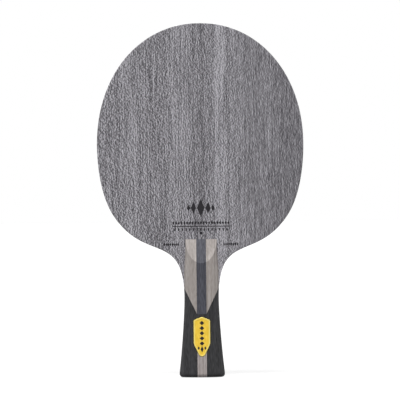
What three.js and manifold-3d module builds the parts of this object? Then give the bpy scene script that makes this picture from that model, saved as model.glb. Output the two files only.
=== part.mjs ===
// Table tennis blade with a flared, inlaid handle. Units are millimetres.
// +Z runs from the butt of the handle up to the crown of the head, +X is the width and +Y the thickness.
// The origin is the middle of the flat butt end. The front of the blade faces -Y, and left is the -X side.
import * as THREE from "three";
import { mergeVertices, toCreasedNormals } from "three/addons/utils/BufferGeometryUtils.js";
import Module from "manifold-3d";

const wasm = await Module();
wasm.setup();

// Head of the blade
const headLength = 157; // from the top of the handle to the crown
const headWidth = 150;
const widestAboveGrip = 68.5; // the widest line of the head over the top of the handle
const crownFullness = 2.09; // 2 is an ellipse, and more is squarer
const shoulderWidth = 126.6; // the head's width where the shoulders turn in to the neck
const shoulderAboveGrip = 17.4;
const shoulderLean = 33; // degrees that the outline leans out from the handle there
const widestPull = 9.5; // how long the side stays straight below the widest line
const shoulderPull = 19.3; // and over the turn of the shoulder
const neckTopPull = 41.6; // and under it
const neckFootPull = 49; // and where the neck leaves the waist

// Handle, shared by the blade's tang and by the two scales glued on it
const gripLength = 100;
const waistWidth = 25;
const waistBelowTop = 42.4; // neck and flare part this far below the top of the handle
const buttWidth = 33.6;
const flareCurve = 1.5; // how fast the flare gathers towards the butt
const buttEdgeRadius = 2.8;

// Plies of the blade
const coreThickness = 3;
const innerVeneerThickness = 0.65;
const fibreThickness = 0.2;
const faceVeneerThickness = 0.6;
const rimRadius = 0.4; // sanded edge of a face veneer

// Handle scales
const waistRise = 9; // height of a scale over the blade's face at the waist
const buttRise = 10;
const sectionFullness = 2; // 2 is a half ellipse
const topWidth = 22.7;
const topTaper = 28; // the scale narrows over this length up to its top
const bevelLength = 17.2; // sloped top, measured along the handle
const bevelLip = 0.5; // thickness left at the top edge
const stripeWidth = 6.9;
const scarfFoot = 45.8; // the slanted joint of the cheeks meets the stripe at this height
const scarfTop = 64.6; // and the side of the handle at this height
const lowerStripeLength = 20;
const glueLine = 0.1;

// Badge, let into the front scale
const badgeFoot = 15.2; // height of its narrow tip over the butt
const badgeLength = 28.4;
const badgeWidth = 11.9;
const badgeThickness = 1.4;
const badgeTipRadius = 2.6;
const badgeTaper = 10.4; // from the tip up to where the sides run straight
const badgeBendRadius = 6;
const badgeRoof = 2.9; // from the shoulders up to the apex
const badgeShoulderRadius = 1.2;
const badgeApexRadius = 4;
const badgeRimWidth = 0.7;
const badgeFieldDepth = 0.25;
const badgeEdgeRadius = 0.2;
const badgeClearance = 0.3; // all round in its pocket
const badgeGlue = 0.1; // film under it
const pocketDepth = 1.3;

// Fineness of the curves
const buttSteps = 4;
const flareSteps = 10;
const waistSteps = 9;
const neckSteps = 20;
const shoulderSteps = 11;
const crownSteps = 24;
const sectionSteps = 24;
const badgeArcSteps = 5;

const waistHeight = gripLength - waistBelowTop;
const widestHeight = gripLength + widestAboveGrip;
const crownRise = headLength - widestAboveGrip;
const bladeThickness = coreThickness + 2 * (innerVeneerThickness + fibreThickness + faceVeneerThickness);
const cutReach = 2 * buttWidth; // cutting tools run this far past the scale
const creaseAngle = THREE.MathUtils.degToRad(25);

function woodMaterial(color, roughness) {
  return new THREE.MeshStandardMaterial({ color, roughness, metalness: 0 });
}

const materials = {
  greyVeneer: woodMaterial(0x838186, 0.62),
  paleVeneer: woodMaterial(0xcbb289, 0.6),
  core: woodMaterial(0xdbc7a0, 0.65),
  fibre: new THREE.MeshStandardMaterial({ color: 0x26272a, roughness: 0.4, metalness: 0.1 }),
  taupe: woodMaterial(0x97918c, 0.5),
  charcoal: woodMaterial(0x3d3e40, 0.5),
  blueGrey: woodMaterial(0x4f515a, 0.5),
  lightGrey: woodMaterial(0x999391, 0.5),
  badge: new THREE.MeshStandardMaterial({ color: 0xe9cc54, roughness: 0.35, metalness: 0.8 }),
};

// Splits a length into equal steps, without its end.
function evenSteps(start, end, count) {
  return Array.from({ length: count }, (_, i) => start + ((end - start) * i) / count);
}

// How much of the flare is left at a height: 1 at the butt and 0 from the waist up.
function flareShare(height) {
  return Math.max(0, 1 - height / waistHeight) ** flareCurve;
}

function handleHalfWidth(height) {
  return (waistWidth + (buttWidth - waistWidth) * flareShare(height)) / 2;
}

function handleRise(height) {
  return waistRise + (buttRise - waistRise) * flareShare(height);
}

// How far the rounded butt edge draws the handle in at a height.
function buttInset(height) {
  const below = Math.max(0, buttEdgeRadius - height);
  return buttEdgeRadius - Math.sqrt(buttEdgeRadius ** 2 - below ** 2);
}

// Heights of the handle's cross-sections from the butt up to the waist, without the waist.
function flareHeights() {
  const heights = [];
  for (let i = 0; i < buttSteps; i++) {
    const turn = ((i / buttSteps) * Math.PI) / 2;
    heights.push(buttEdgeRadius * (1 - Math.cos(turn)));
  }
  heights.push(...evenSteps(buttEdgeRadius, waistHeight, flareSteps));
  return heights;
}

// Half the width of the scale, which tapers in towards its top.
function scaleHalfWidth(height) {
  const share = THREE.MathUtils.smoothstep(height, gripLength - topTaper, gripLength);
  return handleHalfWidth(height) - ((waistWidth - topWidth) / 2) * share;
}

// Point of the head's upper curve: turn 0 is on the widest line, and a quarter turn at the crown.
function crownPoint(turn) {
  const across = Math.cos(turn) ** (2 / crownFullness);
  const along = Math.sin(turn) ** (2 / crownFullness);
  return new THREE.Vector2((headWidth / 2) * across, widestHeight + crownRise * along);
}

// Right half of the blade's outline, from the butt up to the crown. One spline sweeps from the waist
// out to the turn of the shoulder, and the next one on up to the widest line.
function rightOutline() {
  const lean = THREE.MathUtils.degToRad(shoulderLean);
  const upAndOut = new THREE.Vector2(Math.sin(lean), Math.cos(lean));
  const up = new THREE.Vector2(0, 1);
  const waist = new THREE.Vector2(waistWidth / 2, waistHeight);
  const shoulder = new THREE.Vector2(shoulderWidth / 2, gripLength + shoulderAboveGrip);
  const widest = new THREE.Vector2(headWidth / 2, widestHeight);
  const pulled = (point, direction, distance) => point.clone().addScaledVector(direction, distance);

  const neckCurve = new THREE.CubicBezierCurve(
    waist,
    pulled(waist, up, neckFootPull),
    pulled(shoulder, upAndOut, -neckTopPull),
    shoulder,
  );
  const shoulderCurve = new THREE.CubicBezierCurve(
    shoulder,
    pulled(shoulder, upAndOut, shoulderPull),
    pulled(widest, up, -widestPull),
    widest,
  );
  const flare = flareHeights().map((z) => new THREE.Vector2(handleHalfWidth(z) - buttInset(z), z));
  const neck = neckCurve.getSpacedPoints(neckSteps).slice(0, -1);
  const side = shoulderCurve.getSpacedPoints(shoulderSteps).slice(0, -1);
  const crown = evenSteps(0, Math.PI / 2, crownSteps).map(crownPoint);
  return [...flare, ...neck, ...side, ...crown];
}

// Whole outline, counterclockwise as seen from the front.
function bladeOutline() {
  const right = rightOutline();
  const left = right.map((p) => new THREE.Vector2(-p.x, p.y)).reverse();
  const crown = new THREE.Vector2(0, gripLength + headLength);
  return [...right, crown, ...left];
}

// Moves each point of a counterclockwise outline inwards. The edge stays square under the scales,
// and from the waist up the distance grows until it is whole at the top of the handle.
function sandedIn(outline, distance) {
  return outline.map((point, i) => {
    const before = outline.at(i - 1);
    const after = outline[(i + 1) % outline.length];
    const incoming = point.clone().sub(before).normalize();
    const outgoing = after.clone().sub(point).normalize();
    const along = incoming.clone().add(outgoing).normalize();
    const share = THREE.MathUtils.smoothstep(point.y, waistHeight, gripLength);
    const step = (distance * share) / along.dot(outgoing);
    return new THREE.Vector2(point.x - along.y * step, point.y + along.x * step);
  });
}

// Faces of a flat cap over counterclockwise points, turned the same way as the points.
function capFaces(points) {
  return THREE.ShapeUtils.triangulateShape(points, []).map(([a, b, c]) => {
    const area = THREE.ShapeUtils.area([points[a], points[b], points[c]]);
    return area > 0 ? [a, b, c] : [a, c, b];
  });
}

// Closed skin over rings of points, which run counterclockwise as seen from past the last ring.
// flatten gives the place of a point in the plane of its ring.
function loft(rings, flatten) {
  const count = rings[0].length;
  const lastStart = (rings.length - 1) * count;
  const index = [];
  for (let start = 0; start < lastStart; start += count) {
    for (let i = 0; i < count; i++) {
      const a = start + i;
      const b = start + ((i + 1) % count);
      index.push(a, b, b + count);
      index.push(a, b + count, a + count);
    }
  }
  for (const [a, b, c] of capFaces(rings[0].map(flatten))) {
    index.push(a, c, b);
  }
  for (const face of capFaces(rings.at(-1).map(flatten))) {
    index.push(...face.map((i) => i + lastStart));
  }
  const geometry = new THREE.BufferGeometry().setFromPoints(rings.flat());
  geometry.setIndex(index);
  return geometry;
}

// Loft of outlines in X and Z, each with its own depth in Y. They are listed from the back to the front.
function layeredPlate(layers) {
  const rings = layers.map(({ outline, y }) => outline.map((p) => new THREE.Vector3(p.x, y, p.y)));
  return loft(rings, (p) => new THREE.Vector2(p.x, p.z));
}

function toSolid(geometry) {
  const bare = geometry.clone();
  bare.deleteAttribute("normal");
  bare.deleteAttribute("uv");
  const merged = mergeVertices(bare);
  const vertProperties = new Float32Array(merged.attributes.position.array);
  const triVerts = new Uint32Array(merged.index.array);
  return new wasm.Manifold(new wasm.Mesh({ numProp: 3, vertProperties, triVerts }));
}

function toGeometry(solid) {
  const mesh = solid.getMesh();
  const geometry = new THREE.BufferGeometry();
  geometry.setAttribute("position", new THREE.BufferAttribute(mesh.vertProperties, 3));
  geometry.setIndex(new THREE.BufferAttribute(mesh.triVerts, 1));
  return geometry;
}

function namedMesh(name, geometry, material) {
  const mesh = new THREE.Mesh(toCreasedNormals(geometry, creaseAngle), material);
  mesh.name = name;
  return mesh;
}

// Plies, from the core outwards. Each is a sheet of the blade's own outline.
function bladePlies() {
  const outline = bladeOutline();
  const blade = new THREE.Group();

  const sheet = (name, inner, thickness, material) => {
    const layers = [inner + thickness, inner].map((y) => ({ outline, y }));
    blade.add(namedMesh(name, layeredPlate(layers), material));
  };

  // A face veneer's outer edge is rounded over by sanding, here in two steps.
  const faceSheet = (name, inner, side) => {
    const outer = inner + side * faceVeneerThickness;
    const layers = [{ outline, y: inner }];
    for (const turn of [0, Math.PI / 4, Math.PI / 2]) {
      const inset = rimRadius * (1 - Math.cos(turn));
      const back = rimRadius * (1 - Math.sin(turn));
      layers.push({ outline: sandedIn(outline, inset), y: outer - side * back });
    }
    const ordered = side > 0 ? layers.reverse() : layers;
    blade.add(namedMesh(name, layeredPlate(ordered), materials.greyVeneer));
  };

  const coreFace = coreThickness / 2;
  const veneerFace = coreFace + innerVeneerThickness;
  const fibreFace = veneerFace + fibreThickness;
  sheet("blade_core", -coreFace, coreThickness, materials.core);
  sheet("inner_veneer_front", -veneerFace, innerVeneerThickness, materials.paleVeneer);
  sheet("inner_veneer_back", coreFace, innerVeneerThickness, materials.paleVeneer);
  sheet("carbon_layer_front", -fibreFace, fibreThickness, materials.fibre);
  sheet("carbon_layer_back", veneerFace, fibreThickness, materials.fibre);
  faceSheet("face_veneer_front", -fibreFace, -1);
  faceSheet("face_veneer_back", fibreFace, 1);
  return blade;
}

// One scale before it is cut into its inlays: a loft of rounded sections along the handle.
// In a scale's own frame the blade's face is y = 0 and the scale rises along +Y.
function scaleBody() {
  const heights = [...flareHeights(), ...evenSteps(waistHeight, gripLength, waistSteps), gripLength];
  const power = 2 / sectionFullness;
  const rings = heights.map((z) => {
    const halfWidth = scaleHalfWidth(z) - buttInset(z);
    const rise = handleRise(z) - buttInset(z);
    const ring = [];
    for (let i = 0; i <= sectionSteps; i++) {
      const cos = Math.cos((i / sectionSteps) * Math.PI);
      const sin = Math.sqrt(1 - cos ** 2);
      const x = halfWidth * Math.sign(cos) * Math.abs(cos) ** power;
      ring.push(new THREE.Vector3(x, rise * sin ** power, z));
    }
    return ring;
  });
  return toSolid(loft(rings, (p) => new THREE.Vector2(p.x, p.y)));
}

// Block with a flat outline, given as pairs of numbers, that runs deep along the third axis.
// across and up are the axes of the outline.
function cutter(corners, across, up) {
  const shape = new THREE.Shape(corners.map(([u, v]) => new THREE.Vector2(u, v)));
  const block = new THREE.ExtrudeGeometry(shape, { depth: 2 * cutReach, bevelEnabled: false });
  block.translate(0, 0, -cutReach);
  const through = new THREE.Vector3().crossVectors(across, up);
  return toSolid(block.applyMatrix4(new THREE.Matrix4().makeBasis(across, up, through)));
}

const alongX = new THREE.Vector3(1, 0, 0);
const alongY = new THREE.Vector3(0, 1, 0);
const alongZ = new THREE.Vector3(0, 0, 1);

// What the sloped top takes off the scale.
function bevelCutter() {
  const foot = gripLength - bevelLength;
  const crown = handleRise(foot);
  const slope = (crown - bevelLip) / bevelLength;
  const corners = [
    [bevelLip - slope * cutReach, gripLength + cutReach],
    [crown + slope * cutReach, foot - cutReach],
    [crown + slope * cutReach, gripLength + cutReach],
  ];
  return cutter(corners, alongY, alongZ);
}

// Blocks that split a scale into its inlays, by inlay. right is the +X side of the scale's own frame.
function inlayCutters() {
  const joint = glueLine / 2;
  const stripeEdge = stripeWidth / 2;
  const cheekEdge = stripeEdge + joint;
  const slope = (scarfTop - scarfFoot) / (waistWidth / 2 - stripeEdge);
  const scarfJoint = joint * Math.hypot(1, slope);
  const scarfHeight = (x) => scarfFoot + slope * (x - stripeEdge);
  const top = gripLength + cutReach;

  const blocks = {};
  for (const [side, name] of [[1, "right"], [-1, "left"]]) {
    const cheek = (corners) => {
      const turned = corners.map(([x, z]) => [side * x, z]);
      return cutter(turned, alongX, alongZ);
    };
    blocks[`upper_cheek_${name}`] = cheek([
      [cheekEdge, scarfHeight(cheekEdge) + scarfJoint],
      [buttWidth, scarfHeight(buttWidth) + scarfJoint],
      [buttWidth, top],
      [cheekEdge, top],
    ]);
    blocks[`lower_cheek_${name}`] = cheek([
      [cheekEdge, -cutReach],
      [buttWidth, -cutReach],
      [buttWidth, scarfHeight(buttWidth) - scarfJoint],
      [cheekEdge, scarfHeight(cheekEdge) - scarfJoint],
    ]);
  }
  const middle = (foot, head) => {
    const edge = stripeEdge - joint;
    return cutter([[-edge, foot], [edge, foot], [edge, head], [-edge, head]], alongX, alongZ);
  };
  blocks.upper_stripe = middle(scarfFoot + joint, top);
  blocks.centre_block = middle(lowerStripeLength + joint, scarfFoot - joint);
  blocks.lower_stripe = middle(-cutReach, lowerStripeLength - joint);
  return blocks;
}

// Circles that the badge's outline goes round, counterclockwise from its tip, about its middle.
function badgeCircles() {
  const half = badgeWidth / 2;
  const foot = -badgeLength / 2;
  const shoulder = badgeLength / 2 - badgeRoof;
  const bend = { x: half - badgeBendRadius, z: foot + badgeTaper, r: badgeBendRadius };
  const corner = { x: half - badgeShoulderRadius, z: shoulder, r: badgeShoulderRadius };
  return [
    { x: 0, z: foot + badgeTipRadius, r: badgeTipRadius },
    bend,
    corner,
    { x: 0, z: badgeLength / 2 - badgeApexRadius, r: badgeApexRadius },
    { ...corner, x: -corner.x },
    { ...bend, x: -bend.x },
  ];
}

// Direction square to the line that touches two circles on their outer side.
function tangentTurn(from, to) {
  const across = to.x - from.x;
  const up = to.z - from.z;
  return Math.atan2(up, across) - Math.acos((from.r - to.r) / Math.hypot(across, up));
}

// The badge's outline, grown all round by a distance, or shrunk where that is negative.
function badgeOutline(growth) {
  const circles = badgeCircles();
  return circles.flatMap((circle, i) => {
    const start = tangentTurn(circles.at(i - 1), circle);
    const end = tangentTurn(circle, circles[(i + 1) % circles.length]);
    const sweep = THREE.MathUtils.euclideanModulo(end - start, 2 * Math.PI);
    const points = [];
    for (let step = 0; step <= badgeArcSteps; step++) {
      const turn = start + (sweep * step) / badgeArcSteps;
      const radius = circle.r + growth;
      points.push(new THREE.Vector2(circle.x + radius * Math.cos(turn), circle.z + radius * Math.sin(turn)));
    }
    return points;
  });
}

// Puts something on the scale's crown line where the badge sits, leaning with that line.
function placeAtBadge(object) {
  const head = badgeFoot + badgeLength;
  const lean = Math.atan((handleRise(badgeFoot) - handleRise(head)) / badgeLength);
  const rise = (handleRise(badgeFoot) + handleRise(head)) / 2;
  object.position.set(0, rise, badgeFoot + badgeLength / 2);
  object.rotation.set(lean, 0, 0);
  object.updateMatrix();
  return object;
}

// Pocket that the badge lies in.
function pocketCutter() {
  const outline = badgeOutline(badgeClearance);
  const block = layeredPlate([cutReach, -pocketDepth].map((y) => ({ outline, y })));
  return toSolid(block.applyMatrix4(placeAtBadge(new THREE.Object3D()).matrix));
}

// Plate with a raised rim round a lower field. Its layers run from the field out over the rim and down.
function badge() {
  const base = badgeGlue - pocketDepth;
  const top = base + badgeThickness;
  const innerRim = badgeEdgeRadius + badgeRimWidth;
  const plate = layeredPlate([
    { outline: badgeOutline(-innerRim - badgeEdgeRadius / 2), y: top - badgeFieldDepth },
    { outline: badgeOutline(-innerRim), y: top },
    { outline: badgeOutline(-badgeEdgeRadius), y: top },
    { outline: badgeOutline(0), y: top - badgeEdgeRadius },
    { outline: badgeOutline(0), y: base },
  ]);
  return placeAtBadge(namedMesh("front_badge", plate, materials.badge));
}

const inlayMaterials = {
  upper_cheek: materials.taupe,
  lower_cheek: materials.charcoal,
  upper_stripe: materials.blueGrey,
  centre_block: materials.charcoal,
  lower_stripe: materials.lightGrey,
};

// The seven inlays of one scale in the scale's own frame. sideNames says how its two sides are called.
function handleScale(face, body, sideNames) {
  const scale = new THREE.Group();
  for (const [inlay, block] of Object.entries(inlayCutters())) {
    const geometry = toGeometry(body.intersect(block));
    const [kind, side] = inlay.split(/_(?=left|right)/);
    const name = side ? `${face}_${kind}_${sideNames[side]}` : `${face}_${kind}`;
    scale.add(namedMesh(name, geometry, inlayMaterials[kind]));
  }
  return scale;
}

const paddle = new THREE.Group();
paddle.add(bladePlies());

const plainScale = scaleBody().subtract(bevelCutter());
const backScale = handleScale("back", plainScale, { left: "left", right: "right" });
backScale.position.y = bladeThickness / 2;
paddle.add(backScale);

// The front scale is the same part turned half round, so its own right side lies on the left.
const frontScale = handleScale("front", plainScale.subtract(pocketCutter()), { left: "right", right: "left" });
frontScale.add(badge());
frontScale.position.y = -bladeThickness / 2;
frontScale.rotation.z = Math.PI;
paddle.add(frontScale);

export default paddle;
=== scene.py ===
import math

import bmesh
import bpy
import numpy as np
from mathutils import Matrix, Vector


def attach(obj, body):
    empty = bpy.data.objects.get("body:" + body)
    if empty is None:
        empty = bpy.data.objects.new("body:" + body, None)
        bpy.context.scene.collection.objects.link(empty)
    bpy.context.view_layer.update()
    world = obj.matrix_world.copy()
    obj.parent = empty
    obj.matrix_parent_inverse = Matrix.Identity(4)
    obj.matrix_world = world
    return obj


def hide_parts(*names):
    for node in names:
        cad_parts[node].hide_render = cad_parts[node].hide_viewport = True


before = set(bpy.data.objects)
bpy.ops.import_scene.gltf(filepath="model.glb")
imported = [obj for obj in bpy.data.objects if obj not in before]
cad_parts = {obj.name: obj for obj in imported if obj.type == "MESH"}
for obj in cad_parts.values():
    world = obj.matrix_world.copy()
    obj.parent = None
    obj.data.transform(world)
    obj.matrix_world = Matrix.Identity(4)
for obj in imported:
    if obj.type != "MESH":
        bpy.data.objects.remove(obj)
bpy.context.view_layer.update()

MM = 0.001

# Head of the blade
HEAD_LENGTH = 157
HEAD_WIDTH = 150
WIDEST_ABOVE_GRIP = 68.5
CROWN_FULLNESS = 2.09  # 2 is an ellipse, and more is squarer
SHOULDER_WIDTH = 126.6
SHOULDER_ABOVE_GRIP = 17.4
SHOULDER_LEAN = math.radians(33)
WIDEST_PULL = 9.5
SHOULDER_PULL = 19.3
NECK_TOP_PULL = 41.6
NECK_FOOT_PULL = 49

# Handle, shared by the blade's tang and by the two scales glued on it
GRIP_LENGTH = 100
WAIST_WIDTH = 25
WAIST_BELOW_TOP = 42.4
BUTT_WIDTH = 33.6
FLARE_CURVE = 1.5
BUTT_EDGE_RADIUS = 2.8

# Plies of the blade
CORE_THICKNESS = 3
INNER_VENEER_THICKNESS = 0.65
FIBRE_THICKNESS = 0.2
FACE_VENEER_THICKNESS = 0.6
RIM_RADIUS = 0.4
CORE_WEAR = 0.05  # the soft core is sanded this much deeper than the fibre
VENEER_WEAR = 0.02

# Handle scales
WAIST_RISE = 9
BUTT_RISE = 10
SECTION_FULLNESS = 2
TOP_WIDTH = 22.7
TOP_TAPER = 28
BEVEL_LENGTH = 17.2
BEVEL_LIP = 0.5
STRIPE_WIDTH = 6.9
SCARF_FOOT = 45.8
SCARF_TOP = 64.6
LOWER_STRIPE_LENGTH = 20
GLUE_LINE = 0.1
JOINT_EASE = 0.05  # how far sanding breaks the edges of an inlay

# Badge, let into the front scale
BADGE_FOOT = 15.2
BADGE_LENGTH = 28.4
BADGE_WIDTH = 11.9
BADGE_THICKNESS = 1.4
BADGE_TIP_RADIUS = 2.6
BADGE_TAPER = 10.4
BADGE_BEND_RADIUS = 6
BADGE_ROOF = 2.9
BADGE_SHOULDER_RADIUS = 1.2
BADGE_APEX_RADIUS = 4
BADGE_RIM_WIDTH = 0.7
BADGE_FIELD_DEPTH = 0.25
BADGE_EDGE_RADIUS = 0.2
BADGE_CLEARANCE = 0.3
BADGE_GLUE = 0.1
POCKET_DEPTH = 1.3

# Printed and enamelled ornament. A shape's size is its width and height, and a row's reach is how far
# from its middle its outer shapes lie.
INK_THICKNESS = 0.02
ENAMEL_THICKNESS = 0.12
ORNAMENT_HEIGHT = 122.8
ORNAMENT_MIDDLE = (5.6, 13)
ORNAMENT_SIDES = ((5.3, 3.8, 8.6), (8.8, 2.6, 5))  # place to either side of the middle, and size
BEADS_HEIGHT = 111.9
BEADS_REACH = 20
BEAD_COUNT = 21
BEAD_SIZE = (1.55, 2.9)
RULE_HEIGHT = 109.4
RULE_MIDDLE = 0.3
RULE_SIZE = (42, 0.62)
DASHES_HEIGHT = 107.1
DASHES_REACH = 18.9
DASH_COUNT = 15
DASH_SIZE = (0.9, 1.9)
DOT_HEIGHT = 104.4
DOT_RADIUS = 1
SIDE_MARKS_HEIGHT = 96.3
SIDE_MARKS_PLACE = 21.6  # middle of each row, to either side
SIDE_MARKS_REACH = 4.9
SIDE_MARK_COUNT = 8
SIDE_MARK_SIZE = (1.3, 2.7)
ENAMEL_TOP = 10  # along the badge from its middle, as the other places of the enamel
ENAMEL_STEP = 3.7
ENAMEL_COUNT = 5
ENAMEL_SIZE = (3.4, 3.2)
ENAMEL_FOOT = ((0, -9, 2.2, 4.6), (-2.4, -8.2, 1.6, 2.6), (2.4, -8.2, 1.6, 2.6))  # place and size

# Grain
NOISE_TURN = math.radians(35)  # of the noise's cells about Z
OFFSET_STEP = 7  # between the veneer's noises
FACE_SHIFT = 3  # sideways shift of the fibres for their depth, so that the two faces differ
LEFT_GRAIN = (8, 25)  # how far left of the middle the left side's grain begins and is full
RIGHT_GRAIN = (20, 38)  # the same on the right
GRAIN_RELIEF = 0.02
ROUGHNESS_SWING = 0.15  # between the dark and the light tone of a material
# Spacing, lean from Z in degrees and length of the flecks, and their strength on the left, in the
# middle and on the right
FLECKS = (
    (1.7, -40, 1.5, 0.95, 0.9, 0.4),
    (1.7, 10, 1.5, 0.45, 0.8, 0.8),
    (1.7, 25, 1.5, 0.95, 1.1, 0),
    (1.7, 40, 1.5, 0.6, 0, 0),
    (2.8, -10, 1.5, 0.7, 0, 0),
    (2.8, 25, 1.5, 1.05, 0, 0),
    (1.7, 0, 4, 0.65, 0.6, 0.5),
)
# Width and length of the streaks, and their strength on the left, in the middle and on the right
STREAKS = (
    (0.18, 5, 1.1, 1, 1),
    (0.6, 2, 0.4, 0.4, 0.45),
    (0.9, 6, 0.1, 0, 0.3),
    (0.9, 40, 0.6, 0.5, 0.35),
    (4, 900, 0.15, 0.2, 0.05),
)
# Left and right edge and lightness of the veneer's broad bands. They are partly the veneer's own banding
# and partly painted shade, which darkens the right side of the head.
BANDS_AND_SHADE = (
    (-76, -57, -0.01),
    (-57, -46, 0.06),
    (-46, -22, -0.03),
    (-22, -13, 0.04),
    (-6, 10.5, -0.05),
    (10.5, 18.5, 0.12),
    (18.5, 31, 0.03),
    (31, 52, -0.05),
    (52, 76, -0.11),
)
BAND_EDGE = 1.2  # half the width over which a band fades

# Light. A lamp has its name, azimuth, elevation, level and softness, with the angles in degrees.
LAMPS = (
    ("key", -12, 58, 1.05, 30),
    ("left", -100, 5, 0.24, 40),
    ("right", 100, 5, 0.24, 40),
    ("back", 168, 25, 0.52, 30),
)
WORLD_LEVEL = 0.34
WHITE = (1, 1, 1, 1)
FLOOR_TONE = 0.28
FLOOR_GLOW = 0.65  # brings the floor up to white for the camera
FLOOR_HALF = 20000
FLOOR_DROP = 0.2

# Camera, as in the photograph: 400 pixels across, with the paddle turned a little
PIXELS_PER_MM = 1.3765  # on the blade's front face
IMAGE_PIXELS = 400
IMAGE_CENTRE_X = -0.48
IMAGE_CENTRE_Z = 128.5
CAMERA_ROLL = math.radians(-0.55)
CAMERA_DISTANCE = 3000  # from the middle of the blade

# Fineness of the curves
BUTT_STEPS = 8
FLARE_STEPS = 30
NECK_STEPS = 48
SIDE_STEPS = 28
CROWN_STEPS = 64
FACE_COLUMNS = 16
RIM_STEPS = 5
CHEEK_COLUMNS = 32
STRIPE_COLUMNS = 11  # odd, so that no column runs through the badge's tip
INLAY_ROW = 1.2  # height of a row of an inlay's mesh
BEVEL_ROWS = 12
BADGE_ARC_STEPS = 12
BADGE_EDGE_STEPS = 4
DISC_STEPS = 24
HALVINGS = 40  # of a span in which a height is searched
CREASE_MARGIN = 1  # how far under the slope's foot the search for the crease starts
MERGE_DISTANCE = 0.002
LEAST_EDGE = 0.001
SHARP_ANGLE = math.radians(20)
INLAY_LENGTHS = {  # how long each inlay is about, for the count of its rows
    "upper_cheek": 30,
    "upper_stripe": 37,
    "centre_block": 27,
    "lower_cheek": 53,
    "lower_stripe": 18,
}

WAIST_HEIGHT = GRIP_LENGTH - WAIST_BELOW_TOP
WIDEST_HEIGHT = GRIP_LENGTH + WIDEST_ABOVE_GRIP
CROWN_RISE = HEAD_LENGTH - WIDEST_ABOVE_GRIP
CORE_FACE = CORE_THICKNESS / 2
VENEER_FACE = CORE_FACE + INNER_VENEER_THICKNESS
FIBRE_FACE = VENEER_FACE + FIBRE_THICKNESS
BLADE_FACE = FIBRE_FACE + FACE_VENEER_THICKNESS
BADGE_BASE = BADGE_GLUE - POCKET_DEPTH  # over the scale's crown line, as the next two
BADGE_TOP = BADGE_BASE + BADGE_THICKNESS
BADGE_FIELD = BADGE_TOP - BADGE_FIELD_DEPTH


def smoothstep(value, start, end):
    share = min(1, max(0, (value - start) / (end - start)))
    return share * share * (3 - 2 * share)


def mix(start, end, share):
    return start + (end - start) * share


def flare_share(z):
    """How much of the flare is left at a height: 1 at the butt and 0 from the waist up."""
    return max(0, 1 - z / WAIST_HEIGHT) ** FLARE_CURVE


def handle_half_width(z):
    return mix(WAIST_WIDTH, BUTT_WIDTH, flare_share(z)) / 2


def handle_rise(z):
    return mix(WAIST_RISE, BUTT_RISE, flare_share(z))


def butt_inset(z):
    """How far the rounded butt edge draws the handle in at a height."""
    below = max(0, BUTT_EDGE_RADIUS - z)
    return BUTT_EDGE_RADIUS - math.sqrt(BUTT_EDGE_RADIUS**2 - below**2)


def butt_heights():
    """Heights of the rounded butt edge, from the butt up and without the last."""
    turns = [step / BUTT_STEPS * math.pi / 2 for step in range(BUTT_STEPS)]
    return [BUTT_EDGE_RADIUS * (1 - math.cos(turn)) for turn in turns]


def scale_half_width(z):
    taper = (WAIST_WIDTH - TOP_WIDTH) / 2
    return handle_half_width(z) - taper * smoothstep(z, GRIP_LENGTH - TOP_TAPER, GRIP_LENGTH)


# Meshes


def add_object(name, points, faces):
    """New mesh object, from points in millimetres."""
    mesh = bpy.data.meshes.new(name)
    mesh.from_pydata([tuple(np.array(p) * MM) for p in points], [], faces)
    thing = bpy.data.objects.new(name, mesh)
    bpy.context.collection.objects.link(thing)
    return thing


def edit_mesh(mesh, *changes):
    shape = bmesh.new()
    shape.from_mesh(mesh)
    for change in changes:
        change(shape)
    shape.to_mesh(mesh)
    shape.free()


def merge_points(shape):
    bmesh.ops.remove_doubles(shape, verts=shape.verts, dist=MERGE_DISTANCE * MM)
    bmesh.ops.dissolve_degenerate(shape, edges=shape.edges, dist=LEAST_EDGE * MM)


def face_outwards(shape):
    bmesh.ops.recalc_face_normals(shape, faces=shape.faces)


def make_piece(name, points, faces, material, replaces=None):
    """Closed mesh that rides on the blade, with the given material. It may stand for a CAD node, which it
    hides.
    """
    piece = add_object(name, points, faces)
    edit_mesh(piece.data, merge_points, face_outwards, mark_sharp_edges)
    piece.data.materials.append(material)
    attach(piece, "root")
    if replaces:
        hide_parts(replaces)
    return piece


def mark_sharp_edges(shape):
    for face in shape.faces:
        face.smooth = True
    for edge in shape.edges:
        edge.smooth = len(edge.link_faces) == 2 and edge.calc_face_angle() < SHARP_ANGLE


def ring_faces(starts, count):
    """Quads between closed rings of count points that begin at the given indices."""
    faces = []
    for lower, upper in zip(starts, starts[1:]):
        for i in range(count):
            j = (i + 1) % count
            faces.append((lower + i, lower + j, upper + j, upper + i))
    return faces


# Plies of the blade


def bezier(start, start_pull, end_pull, end, share):
    rest = 1 - share
    return (
        rest**3 * start
        + 3 * rest**2 * share * start_pull
        + 3 * rest * share**2 * end_pull
        + share**3 * end
    )


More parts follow.
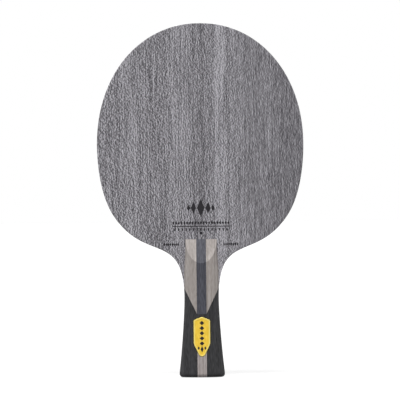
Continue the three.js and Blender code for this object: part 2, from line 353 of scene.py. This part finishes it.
def right_outline():
    """Right half of the blade's outline, from the butt up to the point before the crown."""
    lean = np.array([math.sin(SHOULDER_LEAN), math.cos(SHOULDER_LEAN)])
    up = np.array([0, 1])
    waist = np.array([WAIST_WIDTH / 2, WAIST_HEIGHT])
    shoulder = np.array([SHOULDER_WIDTH / 2, GRIP_LENGTH + SHOULDER_ABOVE_GRIP])
    widest = np.array([HEAD_WIDTH / 2, WIDEST_HEIGHT])

    points = []
    heights = butt_heights()
    heights += list(np.linspace(BUTT_EDGE_RADIUS, WAIST_HEIGHT, FLARE_STEPS, endpoint=False))
    for z in heights:
        points.append((handle_half_width(z) - butt_inset(z), z))
    for share in np.linspace(0, 1, NECK_STEPS, endpoint=False):
        foot = waist + up * NECK_FOOT_PULL
        top = shoulder - lean * NECK_TOP_PULL
        points.append(tuple(bezier(waist, foot, top, shoulder, share)))
    for share in np.linspace(0, 1, SIDE_STEPS, endpoint=False):
        foot = shoulder + lean * SHOULDER_PULL
        top = widest - up * WIDEST_PULL
        points.append(tuple(bezier(shoulder, foot, top, widest, share)))
    for turn in np.linspace(0, math.pi / 2, CROWN_STEPS, endpoint=False):
        across = math.cos(turn) ** (2 / CROWN_FULLNESS)
        along = math.sin(turn) ** (2 / CROWN_FULLNESS)
        points.append((HEAD_WIDTH / 2 * across, WIDEST_HEIGHT + CROWN_RISE * along))
    return points


def blade_outline():
    """Whole outline, up the right side, down the left one and back along the flat butt."""
    right = right_outline()
    left = [(-x, z) for x, z in reversed(right)]
    foot = left[-1][0]
    butt = [(foot * (1 - 2 * i / FACE_COLUMNS), 0) for i in range(1, FACE_COLUMNS)]
    return right + [(0, GRIP_LENGTH + HEAD_LENGTH)] + left + butt


OUTLINE = np.array(blade_outline())


def outline_inset(distance):
    """The outline moved inwards. The move fades out under the scales."""
    before = OUTLINE - np.roll(OUTLINE, 1, axis=0)
    after = np.roll(OUTLINE, -1, axis=0) - OUTLINE
    before /= np.linalg.norm(before, axis=1)[:, None]
    after /= np.linalg.norm(after, axis=1)[:, None]
    along = before + after
    along /= np.linalg.norm(along, axis=1)[:, None]
    inward = np.column_stack([-along[:, 1], along[:, 0]])
    shares = np.array([smoothstep(z, WAIST_HEIGHT, GRIP_LENGTH) for z in OUTLINE[:, 1]])
    steps = distance * shares / np.sum(along * after, axis=1)
    return OUTLINE + inward * steps[:, None]


def cap_grid(ring, y, start, index):
    """Points and faces of a flat cap over a ring whose points begin at index start.

    Its rows run across from one side of the outline to the other. index is the next free one."""
    half = (len(ring) - FACE_COLUMNS) // 2
    points, rows = [], []
    for i in range(half):
        right = ring[i]
        left = ring[2 * half - i]
        if i == 0:
            inner = [start + len(ring) - 1 - k for k in range(FACE_COLUMNS - 1)]
        else:
            inner = [index + len(points) + k for k in range(FACE_COLUMNS - 1)]
            for k in range(1, FACE_COLUMNS):
                x, z = mix(right, left, k / FACE_COLUMNS)
                points.append((x, y, z))
        rows.append([start + i] + inner + [start + 2 * half - i])
    faces = []
    for lower, upper in zip(rows, rows[1:]):
        for k in range(FACE_COLUMNS):
            faces.append((lower[k], lower[k + 1], upper[k + 1], upper[k]))
    crown = start + half
    faces += [(rows[-1][k], rows[-1][k + 1], crown) for k in range(FACE_COLUMNS)]
    return points, faces


def make_ply(name, rings, material):
    """One sheet of the blade. rings are (outline, y) from one face of the sheet to the other."""
    points = [(x, y, z) for ring, y in rings for x, z in ring]
    count = len(OUTLINE)
    starts = [i * count for i in range(len(rings))]
    faces = ring_faces(starts, count)
    for (ring, y), start in ((rings[0], starts[0]), (rings[-1], starts[-1])):
        cap_points, cap_faces = cap_grid(ring, y, start, len(points))
        points += cap_points
        faces += cap_faces
    return make_piece(name, points, faces, material, replaces=name)


def make_blade(looks):
    core = outline_inset(CORE_WEAR)
    veneer = outline_inset(VENEER_WEAR)
    rings = [(core, -CORE_FACE), (core, CORE_FACE)]
    make_ply("blade_core", rings, looks["core"])
    for face, side in (("front", -1), ("back", 1)):
        rings = [(veneer, side * CORE_FACE), (veneer, side * VENEER_FACE)]
        make_ply(f"inner_veneer_{face}", rings, looks["inner"])
        rings = [(OUTLINE, side * VENEER_FACE), (OUTLINE, side * FIBRE_FACE)]
        make_ply(f"carbon_layer_{face}", rings, looks["carbon"])
        rings = [(OUTLINE, side * FIBRE_FACE)]
        for step in range(RIM_STEPS + 1):
            turn = step / RIM_STEPS * math.pi / 2
            inset = outline_inset(RIM_RADIUS * (1 - math.cos(turn)))
            rings.append((inset, side * (BLADE_FACE - RIM_RADIUS * (1 - math.sin(turn)))))
        make_ply(f"face_veneer_{face}", rings, looks["veneer"])


# Handle scales. In a scale's own frame the blade's face is y = 0 and the scale rises along +Y.


def section_height(x, z):
    """Height of the scale over the blade's face, before its top is sloped."""
    half = scale_half_width(z) - butt_inset(z)
    rise = handle_rise(z) - butt_inset(z)
    out = min(1, abs(x) / half)
    return rise * (1 - out**SECTION_FULLNESS) ** (1 / SECTION_FULLNESS)


def bevel_height(z):
    """Height of the sloped top's plane over the blade's face."""
    foot = GRIP_LENGTH - BEVEL_LENGTH
    slope = (handle_rise(foot) - BEVEL_LIP) / BEVEL_LENGTH
    return BEVEL_LIP + slope * (GRIP_LENGTH - z)


def cheek_point(share, z):
    """Point of the right cheek, from the stripe at share 0 out to the blade's face at share 1."""
    half = scale_half_width(z) - butt_inset(z)
    rise = handle_rise(z) - butt_inset(z)
    inner = (STRIPE_WIDTH + GLUE_LINE) / 2
    inner_turn = math.acos((inner / half) ** (SECTION_FULLNESS / 2))
    turn = inner_turn * (1 - share)
    x = half * math.cos(turn) ** (2 / SECTION_FULLNESS)
    y = rise * math.sin(turn) ** (2 / SECTION_FULLNESS)
    return x, y


def stripe_point(share, z):
    """Point of a middle inlay, from its left edge at share 0 to its right edge at share 1."""
    edge = (STRIPE_WIDTH - GLUE_LINE) / 2
    x = mix(-edge, edge, share)
    return x, section_height(x, z)


def crossing(test, low, high):
    """Height between two where a test turns true, found by halving. It is the upper one if none does."""
    if not test(high):
        return high
    for _ in range(HALVINGS):
        middle = (low + high) / 2
        if test(middle):
            high = middle
        else:
            low = middle
    return high


def crease_height(point, share):
    """Where the rounded section meets the sloped top in one column of an inlay."""
    foot = GRIP_LENGTH - BEVEL_LENGTH

    def past_crease(z):
        return point(share, z)[1] > bevel_height(z)

    return crossing(past_crease, foot - CREASE_MARGIN, GRIP_LENGTH)


def scarf_height(share, side):
    """Where a cheek's slanted joint cuts one of its columns.

    side is 1 for the cheek over the joint and -1 for the one under it."""
    inner = STRIPE_WIDTH / 2
    slope = (SCARF_TOP - SCARF_FOOT) / (WAIST_WIDTH / 2 - inner)
    gap = side * GLUE_LINE / 2 * math.hypot(1, slope)

    def past_joint(z):
        return z > SCARF_FOOT + slope * (cheek_point(share, z)[0] - inner) + gap

    return crossing(past_joint, 0, GRIP_LENGTH)


def eased_shares(length, steps, ease_start, ease_end):
    """Even shares of a length, with one more close to each end whose edge sanding has broken."""
    shares = list(np.linspace(0, 1, steps + 1))
    if ease_start:
        shares.insert(1, JOINT_EASE / length)
    if ease_end:
        shares.insert(-1, 1 - JOINT_EASE / length)
    return shares


def inlay_heights(kind, point, share):
    """Heights of the rows in one column of an inlay."""
    sloped = kind.startswith("upper")
    from_butt = kind.startswith("lower")
    joint = GLUE_LINE / 2
    if kind == "upper_cheek":
        low = scarf_height(share, 1)
    elif kind == "upper_stripe":
        low = SCARF_FOOT + joint
    elif kind == "centre_block":
        low = LOWER_STRIPE_LENGTH + joint
    else:
        low = BUTT_EDGE_RADIUS
    if sloped:
        high = crease_height(point, share)
    elif kind == "lower_cheek":
        high = scarf_height(share, -1)
    elif kind == "centre_block":
        high = SCARF_FOOT - joint
    else:
        high = LOWER_STRIPE_LENGTH - joint
    steps = round(INLAY_LENGTHS[kind] / INLAY_ROW)
    shares = eased_shares(high - low, steps, not from_butt, not sloped)
    heights = [mix(low, high, s) for s in shares]
    if from_butt:
        heights = butt_heights() + heights
    if sloped:
        heights += [mix(high, GRIP_LENGTH, s) for s in np.linspace(0, 1, BEVEL_ROWS + 1)[1:]]
    return heights


def inlay_mesh(kind):
    """Points and faces of one inlay in the scale's own frame, on its right side."""
    sloped = kind.startswith("upper")
    from_butt = kind.startswith("lower")
    cheek = kind.endswith("cheek")
    point = cheek_point if cheek else stripe_point
    columns = CHEEK_COLUMNS if cheek else STRIPE_COLUMNS
    width = WAIST_WIDTH / 2 if cheek else STRIPE_WIDTH
    shares = eased_shares(width, columns, True, not cheek)
    grid = [[(point(s, z), z) for z in inlay_heights(kind, point, s)] for s in shares]
    rows, last = len(grid[0]), len(grid) - 1
    top, base = [], []
    for j, column in enumerate(grid):
        for i, ((x, y), z) in enumerate(column):
            y = min(y, bevel_height(z)) if sloped else y
            joint_edge = j == 0 or (j == last and not cheek)
            joint_edge = joint_edge or (i == 0 and not from_butt)
            joint_edge = joint_edge or (i == rows - 1 and not sloped)
            top.append((x, max(0, y - JOINT_EASE) if joint_edge else y, z))
            base.append((x, 0, z))
    faces = []
    count = len(top)
    for j in range(last):
        for i in range(rows - 1):
            corners = (j * rows + i, (j + 1) * rows + i, (j + 1) * rows + i + 1, j * rows + i + 1)
            faces.append(corners)
            faces.append(tuple(k + count for k in reversed(corners)))
    loop = list(range(rows))
    loop += [j * rows + rows - 1 for j in range(1, last + 1)]
    loop += [last * rows + i for i in range(rows - 2, -1, -1)]
    loop += [j * rows for j in range(last - 1, 0, -1)]
    for a, b in zip(loop, loop[1:] + loop[:1]):
        faces.append((a, b, b + count, a + count))
    return top + base, faces


def place_scale(points, face, mirrored):
    """Points of the scale's right side, brought to the front or back of the blade and to a side."""
    side = -1 if face == "front" else 1
    across = -1 if mirrored else 1
    return [(across * x, side * (y + BLADE_FACE), z) for x, y, z in points]


INLAYS = {
    "upper_cheek": "taupe_wood",
    "lower_cheek": "charcoal_wood",
    "upper_stripe": "blue_grey_wood",
    "centre_block": "charcoal_wood",
    "lower_stripe": "light_grey_wood",
}


def make_scale(face, looks):
    """The seven inlays of one scale, by name. Cheeks come in pairs, and the others lie in the middle."""
    pieces = {}
    for kind, slot in INLAYS.items():
        points, faces = inlay_mesh(kind)
        for ending in ("_left", "_right") if kind.endswith("cheek") else ("",):
            name = f"{face}_{kind}{ending}"
            placed = place_scale(points, face, mirrored=ending == "_left")
            material = looks[slot + ending]
            pieces[name] = make_piece(name, placed, faces, material, replaces=name)
    return pieces


# Badge


def badge_circles():
    """Circles that the badge's outline goes round, counterclockwise from its tip, about its middle."""
    half = BADGE_WIDTH / 2
    foot = -BADGE_LENGTH / 2
    bend = (half - BADGE_BEND_RADIUS, foot + BADGE_TAPER, BADGE_BEND_RADIUS)
    shoulder = (half - BADGE_SHOULDER_RADIUS, -foot - BADGE_ROOF, BADGE_SHOULDER_RADIUS)
    tip = (0, foot + BADGE_TIP_RADIUS, BADGE_TIP_RADIUS)
    apex = (0, -foot - BADGE_APEX_RADIUS, BADGE_APEX_RADIUS)
    left_shoulder, left_bend = [(-x, z, radius) for x, z, radius in (shoulder, bend)]
    return [tip, bend, shoulder, apex, left_shoulder, left_bend]


def tangent_turn(start, end):
    """Direction square to the line that touches two circles on their outer side."""
    across, up = end[0] - start[0], end[1] - start[1]
    return math.atan2(up, across) - math.acos((start[2] - end[2]) / math.hypot(across, up))


def badge_outline(growth):
    """Outline of the badge, moved outwards by growth or inwards where that is negative."""
    circles = badge_circles()
    points = []
    for i, (x, z, radius) in enumerate(circles):
        start = tangent_turn(circles[i - 1], circles[i])
        end = tangent_turn(circles[i], circles[(i + 1) % len(circles)])
        sweep = (end - start) % math.tau
        for step in range(BADGE_ARC_STEPS + 1):
            turn = start + sweep * step / BADGE_ARC_STEPS
            reach = radius + growth
            points.append((x + reach * math.cos(turn), z + reach * math.sin(turn)))
    return points


def on_badge(x, height, z):
    """Place of a point given across the badge, over the scale's crown line and along from its middle."""
    head = BADGE_FOOT + BADGE_LENGTH
    lean = math.atan((handle_rise(BADGE_FOOT) - handle_rise(head)) / BADGE_LENGTH)
    rise = (handle_rise(BADGE_FOOT) + handle_rise(head)) / 2
    y = rise + height * math.cos(lean) - z * math.sin(lean)
    along = BADGE_FOOT + BADGE_LENGTH / 2 + height * math.sin(lean) + z * math.cos(lean)
    return (x, -(BLADE_FACE + y), along)


def plate(rings):
    """Points and faces of a closed plate on the badge's place, from (outline, height) rings."""
    points = [on_badge(x, height, z) for outline, height in rings for x, z in outline]
    count = len(rings[0][0])
    starts = [i * count for i in range(len(rings))]
    faces = ring_faces(starts, count)
    faces.append(tuple(range(count)))
    faces.append(tuple(range(starts[-1], starts[-1] + count)))
    return points, faces


def make_badge(looks):
    """A plate with a rounded edge and a flat rim, inside which a short slope leads down to the field."""
    inner = BADGE_EDGE_RADIUS + BADGE_RIM_WIDTH
    rings = [(badge_outline(0), BADGE_BASE)]
    for step in range(BADGE_EDGE_STEPS + 1):
        turn = step / BADGE_EDGE_STEPS * math.pi / 2
        inset = BADGE_EDGE_RADIUS * (1 - math.cos(turn))
        rings.append((badge_outline(-inset), BADGE_TOP - BADGE_EDGE_RADIUS * (1 - math.sin(turn))))
    for step in range(BADGE_EDGE_STEPS + 1):
        share = step / BADGE_EDGE_STEPS
        inset = inner + BADGE_EDGE_RADIUS / 2 * share
        rings.append((badge_outline(-inset), mix(BADGE_TOP, BADGE_FIELD, smoothstep(share, 0, 1))))
    points, faces = plate(rings)
    name, field = "front_badge", looks["badge_field"]
    badge = make_piece(name, points, faces, field, replaces=name)
    # The ring faces (rounded edge, rim and slope) take the lighter rim look: polished metal, with a painted
    # highlight on the raised edge.
    badge.data.materials.append(looks["badge_rim_highlight"])
    for face in badge.data.polygons:
        between_rings = len(face.vertices) == 4
        face.material_index = int(between_rings)


def cut_pocket(pieces):
    """Cuts the badge's pocket into the inlays that it reaches."""
    outline = badge_outline(BADGE_CLEARANCE)
    top = BADGE_WIDTH  # any height that is clear of the scale
    cutter = add_object("pocket", *plate([(outline, -POCKET_DEPTH), (outline, top)]))
    edit_mesh(cutter.data, face_outwards)
    for kind in ("lower_cheek_left", "lower_cheek_right", "centre_block", "lower_stripe"):
        apply_cut(pieces[f"front_{kind}"], cutter)
    bpy.data.objects.remove(cutter)


def apply_cut(piece, cutter):
    cut = piece.modifiers.new("pocket", "BOOLEAN")
    cut.object = cutter
    cut.operation = "DIFFERENCE"
    cut.solver = "EXACT"
    evaluated = piece.evaluated_get(bpy.context.evaluated_depsgraph_get())
    mesh = bpy.data.meshes.new_from_object(evaluated)
    piece.modifiers.remove(cut)
    piece.data = mesh
    edit_mesh(mesh, mark_sharp_edges)


# Ornament


def prisms(outlines, place, bottom, top):
    """Points and faces of flat prisms over outlines. place turns (x, height, z) into a point."""
    points, faces = [], []
    for outline in outlines:
        count, start = len(outline), len(points)
        for height in (bottom, top):
            points += [place(x, height, z) for x, z in outline]
        faces += ring_faces([start, start + count], count)
        faces.append(tuple(range(start, start + count)))
        faces.append(tuple(range(start + count, start + 2 * count)))
    return points, faces


def lozenge(x, z, width, height):
    return [(x, z - height / 2), (x + width / 2, z), (x, z + height / 2), (x - width / 2, z)]


def bar(x, z, width, height):
    half, rise = width / 2, height / 2
    return [(x - half, z - rise), (x + half, z - rise), (x + half, z + rise), (x - half, z + rise)]


def disc(x, z, radius):
    turns = [math.tau * i / DISC_STEPS for i in range(DISC_STEPS)]
    return [(x + radius * math.cos(t), z + radius * math.sin(t)) for t in turns]


def row(shape, middle, reach, count, z, size):
    """A row of alike shapes, evenly spaced."""
    return [shape(middle + x, z, *size) for x in np.linspace(-reach, reach, count)]


def on_face(x, height, z):
    return (x, -(BLADE_FACE + height), z)


def make_print(looks):
    """A plain printer's ornament with rows of beads and dashes on the front face."""
    ornament = [lozenge(0, ORNAMENT_HEIGHT, *ORNAMENT_MIDDLE)]
    marks = [disc(0, DOT_HEIGHT, DOT_RADIUS)]
    for side in (-1, 1):
        ornament += [lozenge(side * place, ORNAMENT_HEIGHT, *size) for place, *size in ORNAMENT_SIDES]
        middle = side * SIDE_MARKS_PLACE
        marks += row(lozenge, middle, SIDE_MARKS_REACH, SIDE_MARK_COUNT, SIDE_MARKS_HEIGHT, SIDE_MARK_SIZE)
    beads = row(lozenge, 0, BEADS_REACH, BEAD_COUNT, BEADS_HEIGHT, BEAD_SIZE)
    rule = [bar(RULE_MIDDLE, RULE_HEIGHT, *RULE_SIZE)]
    dashes = row(bar, 0, DASHES_REACH, DASH_COUNT, DASHES_HEIGHT, DASH_SIZE)
    for name, outlines in (
        ("print_ornament", ornament),
        ("print_beads", beads),
        ("print_rule", rule),
        ("print_dashes", dashes),
        ("print_marks", marks),
    ):
        points, faces = prisms(outlines, on_face, -INK_THICKNESS, INK_THICKNESS)
        make_piece(name, points, faces, looks["ink"])


def make_enamel(looks):
    column = [lozenge(0, ENAMEL_TOP - ENAMEL_STEP * i, *ENAMEL_SIZE) for i in range(ENAMEL_COUNT)]
    foot = [lozenge(*place_and_size) for place_and_size in ENAMEL_FOOT]
    bottom = BADGE_FIELD - ENAMEL_THICKNESS
    top = BADGE_FIELD + ENAMEL_THICKNESS
    points, faces = prisms(column + foot, on_badge, bottom, top)
    make_piece("badge_enamel", points, faces, looks["ink"])


# Materials


def linear(*levels):
    """Colour of a surface from its 0 to 255 levels on a screen."""
    values = []
    for level in levels:
        v = level / 255
        values.append(v / 12.92 if v <= 0.04045 else ((v + 0.055) / 1.055) ** 2.4)
    return (*values, 1)


class Nodes:
    """A node tree, built up from short calls."""

    def __init__(self, tree):
        self.tree = tree

    def add(self, kind, inputs=None, **settings):
        node = self.tree.nodes.new(kind)
        for name, value in settings.items():
            setattr(node, name, value)
        for name, value in (inputs or {}).items():
            self.put(node.inputs[name], value)
        return node

    def put(self, socket, value):
        if isinstance(value, bpy.types.NodeSocket):
            self.tree.links.new(value, socket)
        else:
            socket.default_value = value

    def math(self, operation, *values):
        node = self.add("ShaderNodeMath", operation=operation)
        for socket, value in zip(node.inputs, values):
            self.put(socket, value)
        return node.outputs[0]

    def looked_at(self):
        """1 for a ray from the camera, a reflection or through glass, and 0 for one that gathers light."""
        path = self.add("ShaderNodeLightPath")
        seen = self.math("MAXIMUM", path.outputs["Is Camera Ray"], path.outputs["Is Glossy Ray"])
        return self.math("MAXIMUM", seen, path.outputs["Is Transmission Ray"])


class Look(Nodes):
    """A material, with the calls that its surface needs."""

    def __init__(self, name):
        self.material = bpy.data.materials.new(name)
        self.material.use_nodes = True
        super().__init__(self.material.node_tree)
        self.shader = self.tree.nodes["Principled BSDF"]

    def set(self, name, value):
        self.put(self.shader.inputs[name], value)

    def place(self):
        return self.add("ShaderNodeTexCoord").outputs["Object"]

    def share(self, value):
        """A value about 0, brought to between 0 and 1."""
        node = self.add("ShaderNodeMath", operation="ADD", use_clamp=True)
        self.put(node.inputs[0], value)
        self.put(node.inputs[1], 0.5)
        return node.outputs[0]

    def ramp(self, value, start, end, shape="LINEAR"):
        """0 at the start and 1 at the end, which are in millimetres."""
        inputs = {"Value": value, "From Min": start * MM, "From Max": end * MM}
        return self.add("ShaderNodeMapRange", inputs, interpolation_type=shape).outputs[0]

    def blend(self, share, start, end):
        node = self.add("ShaderNodeMix", data_type="RGBA")
        self.put(node.inputs["Factor"], share)
        self.put(node.inputs["A"], start)
        self.put(node.inputs["B"], end)
        return node.outputs["Result"]

    def noise(self, width, length, offset=0, depth=None, detail=0.0):
        """Noise from -0.5 to 0.5 in strands of that width and length in millimetres along Z.

        They are as deep along Y as they are wide, unless depth says otherwise. The cells are turned
        about Z, so that no flat face runs along their edges."""
        mapping = {
            "Vector": self.place(),
            "Location": (offset,) * 3,
            "Rotation": (0, 0, NOISE_TURN),
            "Scale": (1 / (width * MM), 1 / ((depth or width) * MM), 1 / (length * MM)),
        }
        mapped = self.add("ShaderNodeMapping", mapping)
        inputs = {"Vector": mapped.outputs[0], "Scale": 1, "Detail": detail}
        cloud = self.add("ShaderNodeTexNoise", inputs)
        return self.math("SUBTRACT", cloud.outputs[0], 0.5)

    def fibres(self, cell, spacing, lean, offset):
        """Short wavy fibres from -0.5 to 0.5.

        They are that spacing apart, about a cell long, and lean from Z by an angle."""
        parts = self.add("ShaderNodeSeparateXYZ", {"Vector": self.place()})
        x = self.math("MULTIPLY_ADD", parts.outputs["Y"], FACE_SHIFT, parts.outputs["X"])
        flat = self.add("ShaderNodeCombineXYZ", {"X": x, "Y": parts.outputs["Z"]})
        mapping = {
            "Vector": flat.outputs[0],
            "Location": (offset,) * 3,
            "Scale": (1 / (cell * MM),) * 3,
        }
        mapped = self.add("ShaderNodeMapping", mapping)
        inputs = {
            "Vector": mapped.outputs[0],
            "Scale": 1,
            "Frequency": cell / spacing,
            "Orientation": lean,
        }
        waves = self.add("ShaderNodeTexGabor", inputs)
        return self.math("SUBTRACT", waves.outputs["Value"], 0.5)

    def total(self, *parts):
        """Sum of (weight, value) pairs."""
        total = 0
        for weight, value in parts:
            node = self.add("ShaderNodeMath", operation="MULTIPLY_ADD")
            for socket, item in zip(node.inputs, (value, weight, total)):
                self.put(socket, item)
            total = node.outputs[0]
        return total


def wood_look(name, dark, light, grain, roughness=0.55, specular=0.15, curve=1):
    """Wood whose colour runs between two tones. grain gives the grain's value for a Look, about 0.

    A curve over 1 keeps more of the wood near the dark tone."""
    look = Look(name)
    value = grain(look)
    share = look.math("POWER", look.share(value), curve)
    look.set("Base Color", look.blend(share, dark, light))
    look.set("Roughness", look.math("MULTIPLY_ADD", value, -ROUGHNESS_SWING, roughness))
    look.set("Specular IOR Level", specular)
    inputs = {"Strength": 1, "Distance": GRAIN_RELIEF * MM, "Height": value}
    look.set("Normal", look.add("ShaderNodeBump", inputs).outputs[0])
    return look.material


def band(look, across, left, right):
    """1 inside a band along the grain, and 0 outside its soft edges."""
    away = look.math("ABSOLUTE", look.math("SUBTRACT", across, (left + right) / 2 * MM))
    half = (right - left) / 2
    return look.ramp(away, half + BAND_EDGE, half - BAND_EDGE, "SMOOTHSTEP")


def veneer_grain(look):
    """Crossing flecks, fine streaks and broad bands, which also paint shade darker on the right. The grain
    is coarser on the blade's left side.
    """
    across = look.add("ShaderNodeSeparateXYZ", {"Vector": look.place()}).outputs["X"]
    left = look.ramp(across, *(-edge for edge in LEFT_GRAIN))
    right = look.ramp(across, *RIGHT_GRAIN)

    def strength(on_left, middle, on_right):
        value = look.math("MULTIPLY_ADD", left, on_left - middle, middle)
        return look.math("MULTIPLY_ADD", right, on_right - middle, value)

    parts = []
    for i, (spacing, lean, length, *strengths) in enumerate(FLECKS):
        fibres = look.fibres(length, spacing, math.radians(lean), OFFSET_STEP * i)
        parts.append((strength(*strengths), fibres))
    for i, (width, length, *strengths) in enumerate(STREAKS):
        parts.append((strength(*strengths), look.noise(width, length, OFFSET_STEP * i)))
    # The bands' lightness is partly the veneer's banding and partly painted shade on the right side.
    for left_edge, right_edge, lightness in BANDS_AND_SHADE:
        parts.append((lightness, band(look, across, left_edge, right_edge)))
    return look.total(*parts)


def inlay_grain(offset, streakiness=1, speckle=1):
    """Streaks, specks, pores and bands. The offset sets one piece's grain apart from another's."""

    def grain(look):
        streaks = look.noise(width=0.9, length=60, offset=offset, depth=8)
        specks = look.noise(width=0.5, length=4, offset=offset + 3, depth=2)
        pores = look.noise(width=0.16, length=3, offset=offset + 7, depth=1)
        bands = look.noise(width=2.5, length=200, offset=offset + 5, depth=8)
        return look.total(
            (0.7 * streakiness, streaks),
            (speckle, specks),
            (0.7, pores),
            (0.4 * streakiness, bands),
        )

    return grain


def carbon_look():
    look = Look("carbon_cloth")
    weave = look.noise(width=0.6, length=0.6, detail=1)
    look.set("Base Color", look.blend(look.share(weave), linear(20, 20, 22), linear(58, 58, 62)))
    look.set("Roughness", 0.4)
    return look.material


def metal_look(name, dark, light, metallic, roughness):
    """Brushed metal, with its fine scratches along the badge."""
    look = Look(name)
    scratches = look.noise(width=0.5, length=3, offset=2)
    clouds = look.noise(width=2, length=3, offset=4)
    value = look.total((0.8, scratches), (0.4, clouds))
    look.set("Base Color", look.blend(look.share(value), dark, light))
    look.set("Metallic", metallic)
    look.set("Roughness", look.math("MULTIPLY_ADD", value, ROUGHNESS_SWING, roughness))
    return look.material


def ink_look():
    look = Look("ink")
    mottle = look.noise(width=0.4, length=0.8, detail=2)
    look.set("Base Color", look.blend(look.share(mottle), linear(22, 20, 23), linear(44, 42, 46)))
    look.set("Roughness", 0.6)
    look.set("Specular IOR Level", 0.2)
    return look.material


def make_looks():
    face = (linear(72, 70, 74), linear(188, 186, 192))
    inner = (linear(190, 160, 112), linear(216, 190, 146))
    core = (linear(206, 184, 146), linear(230, 212, 178))
    field = (linear(212, 174, 40), linear(244, 208, 78))
    # The rim's lower roughness is its polished finish. Its lighter tone is a painted highlight on the
    # raised rim and edge.
    rim = (linear(230, 206, 98), linear(242, 220, 116))
    looks = {
        "veneer": wood_look("face_veneer", *face, veneer_grain, roughness=0.6, curve=1.5),
        "inner": wood_look("inner_veneer", *inner, inlay_grain(1)),
        "core": wood_look("core_wood", *core, inlay_grain(21)),
        "carbon": carbon_look(),
        "badge_field": metal_look("badge_field", *field, metallic=0.5, roughness=0.45),
        "badge_rim_highlight": metal_look("badge_rim_highlight", *rim, metallic=0.3, roughness=0.35),
        "ink": ink_look(),
    }
    taupe = (linear(124, 117, 113), linear(172, 165, 161))
    charcoal = (linear(38, 38, 39), linear(74, 74, 76))
    blue_grey = (linear(53, 54, 61), linear(90, 91, 100))
    light_grey = (linear(136, 128, 126), linear(174, 166, 164))
    for name, tones, offset, streakiness, speckle, specular in (
        ("taupe_wood_left", taupe, 75.9, 0.7, 0.65, 0.3),
        ("taupe_wood_right", taupe, 52.9, 1.4, 0.65, 0.3),
        ("charcoal_wood_left", charcoal, 71.3, 0.7, 0.7, 0.05),
        ("charcoal_wood_right", charcoal, 64.4, 0.7, 0.75, 0.05),
        ("charcoal_wood", charcoal, 67, 0.7, 0.7, 0.05),
        ("blue_grey_wood", blue_grey, 59.8, 0.8, 1, 0.15),
        ("light_grey_wood", light_grey, 34.5, 2.5, 0.7, 0.15),
    ):
        grain = inlay_grain(offset, streakiness, speckle)
        looks[name] = wood_look(name, *tones, grain, specular=specular)
    return looks


# Stage, lamps and camera


def floor_look():
    """White to the camera, with the object's shadow kept."""
    look = Look("floor")
    look.set("Base Color", (FLOOR_TONE, FLOOR_TONE, FLOOR_TONE, 1))
    look.set("Roughness", 0.9)
    look.set("Specular IOR Level", 0.1)
    look.set("Emission Color", WHITE)
    look.set("Emission Strength", look.math("MULTIPLY", look.looked_at(), FLOOR_GLOW))
    return look.material


def make_floor():
    signs = ((-1, -1), (1, -1), (1, 1), (-1, 1))
    corners = [(x * FLOOR_HALF, y * FLOOR_HALF, -FLOOR_DROP) for x, y in signs]
    floor = add_object("floor", corners, [(0, 1, 2, 3)])
    floor.data.materials.append(floor_look())


def make_world():
    """White where the camera and reflections look, and a soft even light for everything else."""
    world = bpy.data.worlds.new("studio")
    bpy.context.scene.world = world
    world.use_nodes = True
    nodes = Nodes(world.node_tree)
    background = world.node_tree.nodes["Background"]
    level = nodes.math("MULTIPLY_ADD", nodes.looked_at(), 1 - WORLD_LEVEL, WORLD_LEVEL)
    nodes.put(background.inputs["Color"], WHITE)
    nodes.put(background.inputs["Strength"], level)


def make_lamp(name, azimuth, elevation, level, softness):
    """Soft lamp far away. Azimuth 0 is in front of the blade and 90 on its right, in degrees.

    At level 1 it lights a surface that faces it so that a colour renders as it is written."""
    light = bpy.data.lights.new(name, "SUN")
    light.energy = level * math.pi
    light.angle = math.radians(softness)
    lamp = bpy.data.objects.new(name, light)
    bpy.context.collection.objects.link(lamp)
    turn, rise = math.radians(azimuth), math.radians(elevation)
    towards = Vector((math.sin(turn) * math.cos(rise), -math.cos(turn) * math.cos(rise), math.sin(rise)))
    lamp.rotation_euler = towards.to_track_quat("Z", "Y").to_euler()


def make_camera():
    camera = bpy.data.objects.new("camera", bpy.data.cameras.new("camera"))
    bpy.context.collection.objects.link(camera)
    bpy.context.scene.camera = camera
    view_width = IMAGE_PIXELS / PIXELS_PER_MM
    camera.data.angle = 2 * math.atan(view_width / 2 / (CAMERA_DISTANCE - BLADE_FACE))
    camera.location = (IMAGE_CENTRE_X * MM, -CAMERA_DISTANCE * MM, IMAGE_CENTRE_Z * MM)
    camera.rotation_mode = "XYZ"
    turn = Matrix.Rotation(math.pi / 2, 4, "X") @ Matrix.Rotation(CAMERA_ROLL, 4, "Z")
    camera.rotation_euler = turn.to_euler()


looks = make_looks()
make_blade(looks)
front = make_scale("front", looks)
make_scale("back", looks)
cut_pocket(front)
make_badge(looks)
make_enamel(looks)
make_print(looks)
make_floor()
make_world()
for lamp in LAMPS:
    make_lamp(*lamp)
make_camera()
bpy.context.scene.view_settings.view_transform = "Standard"
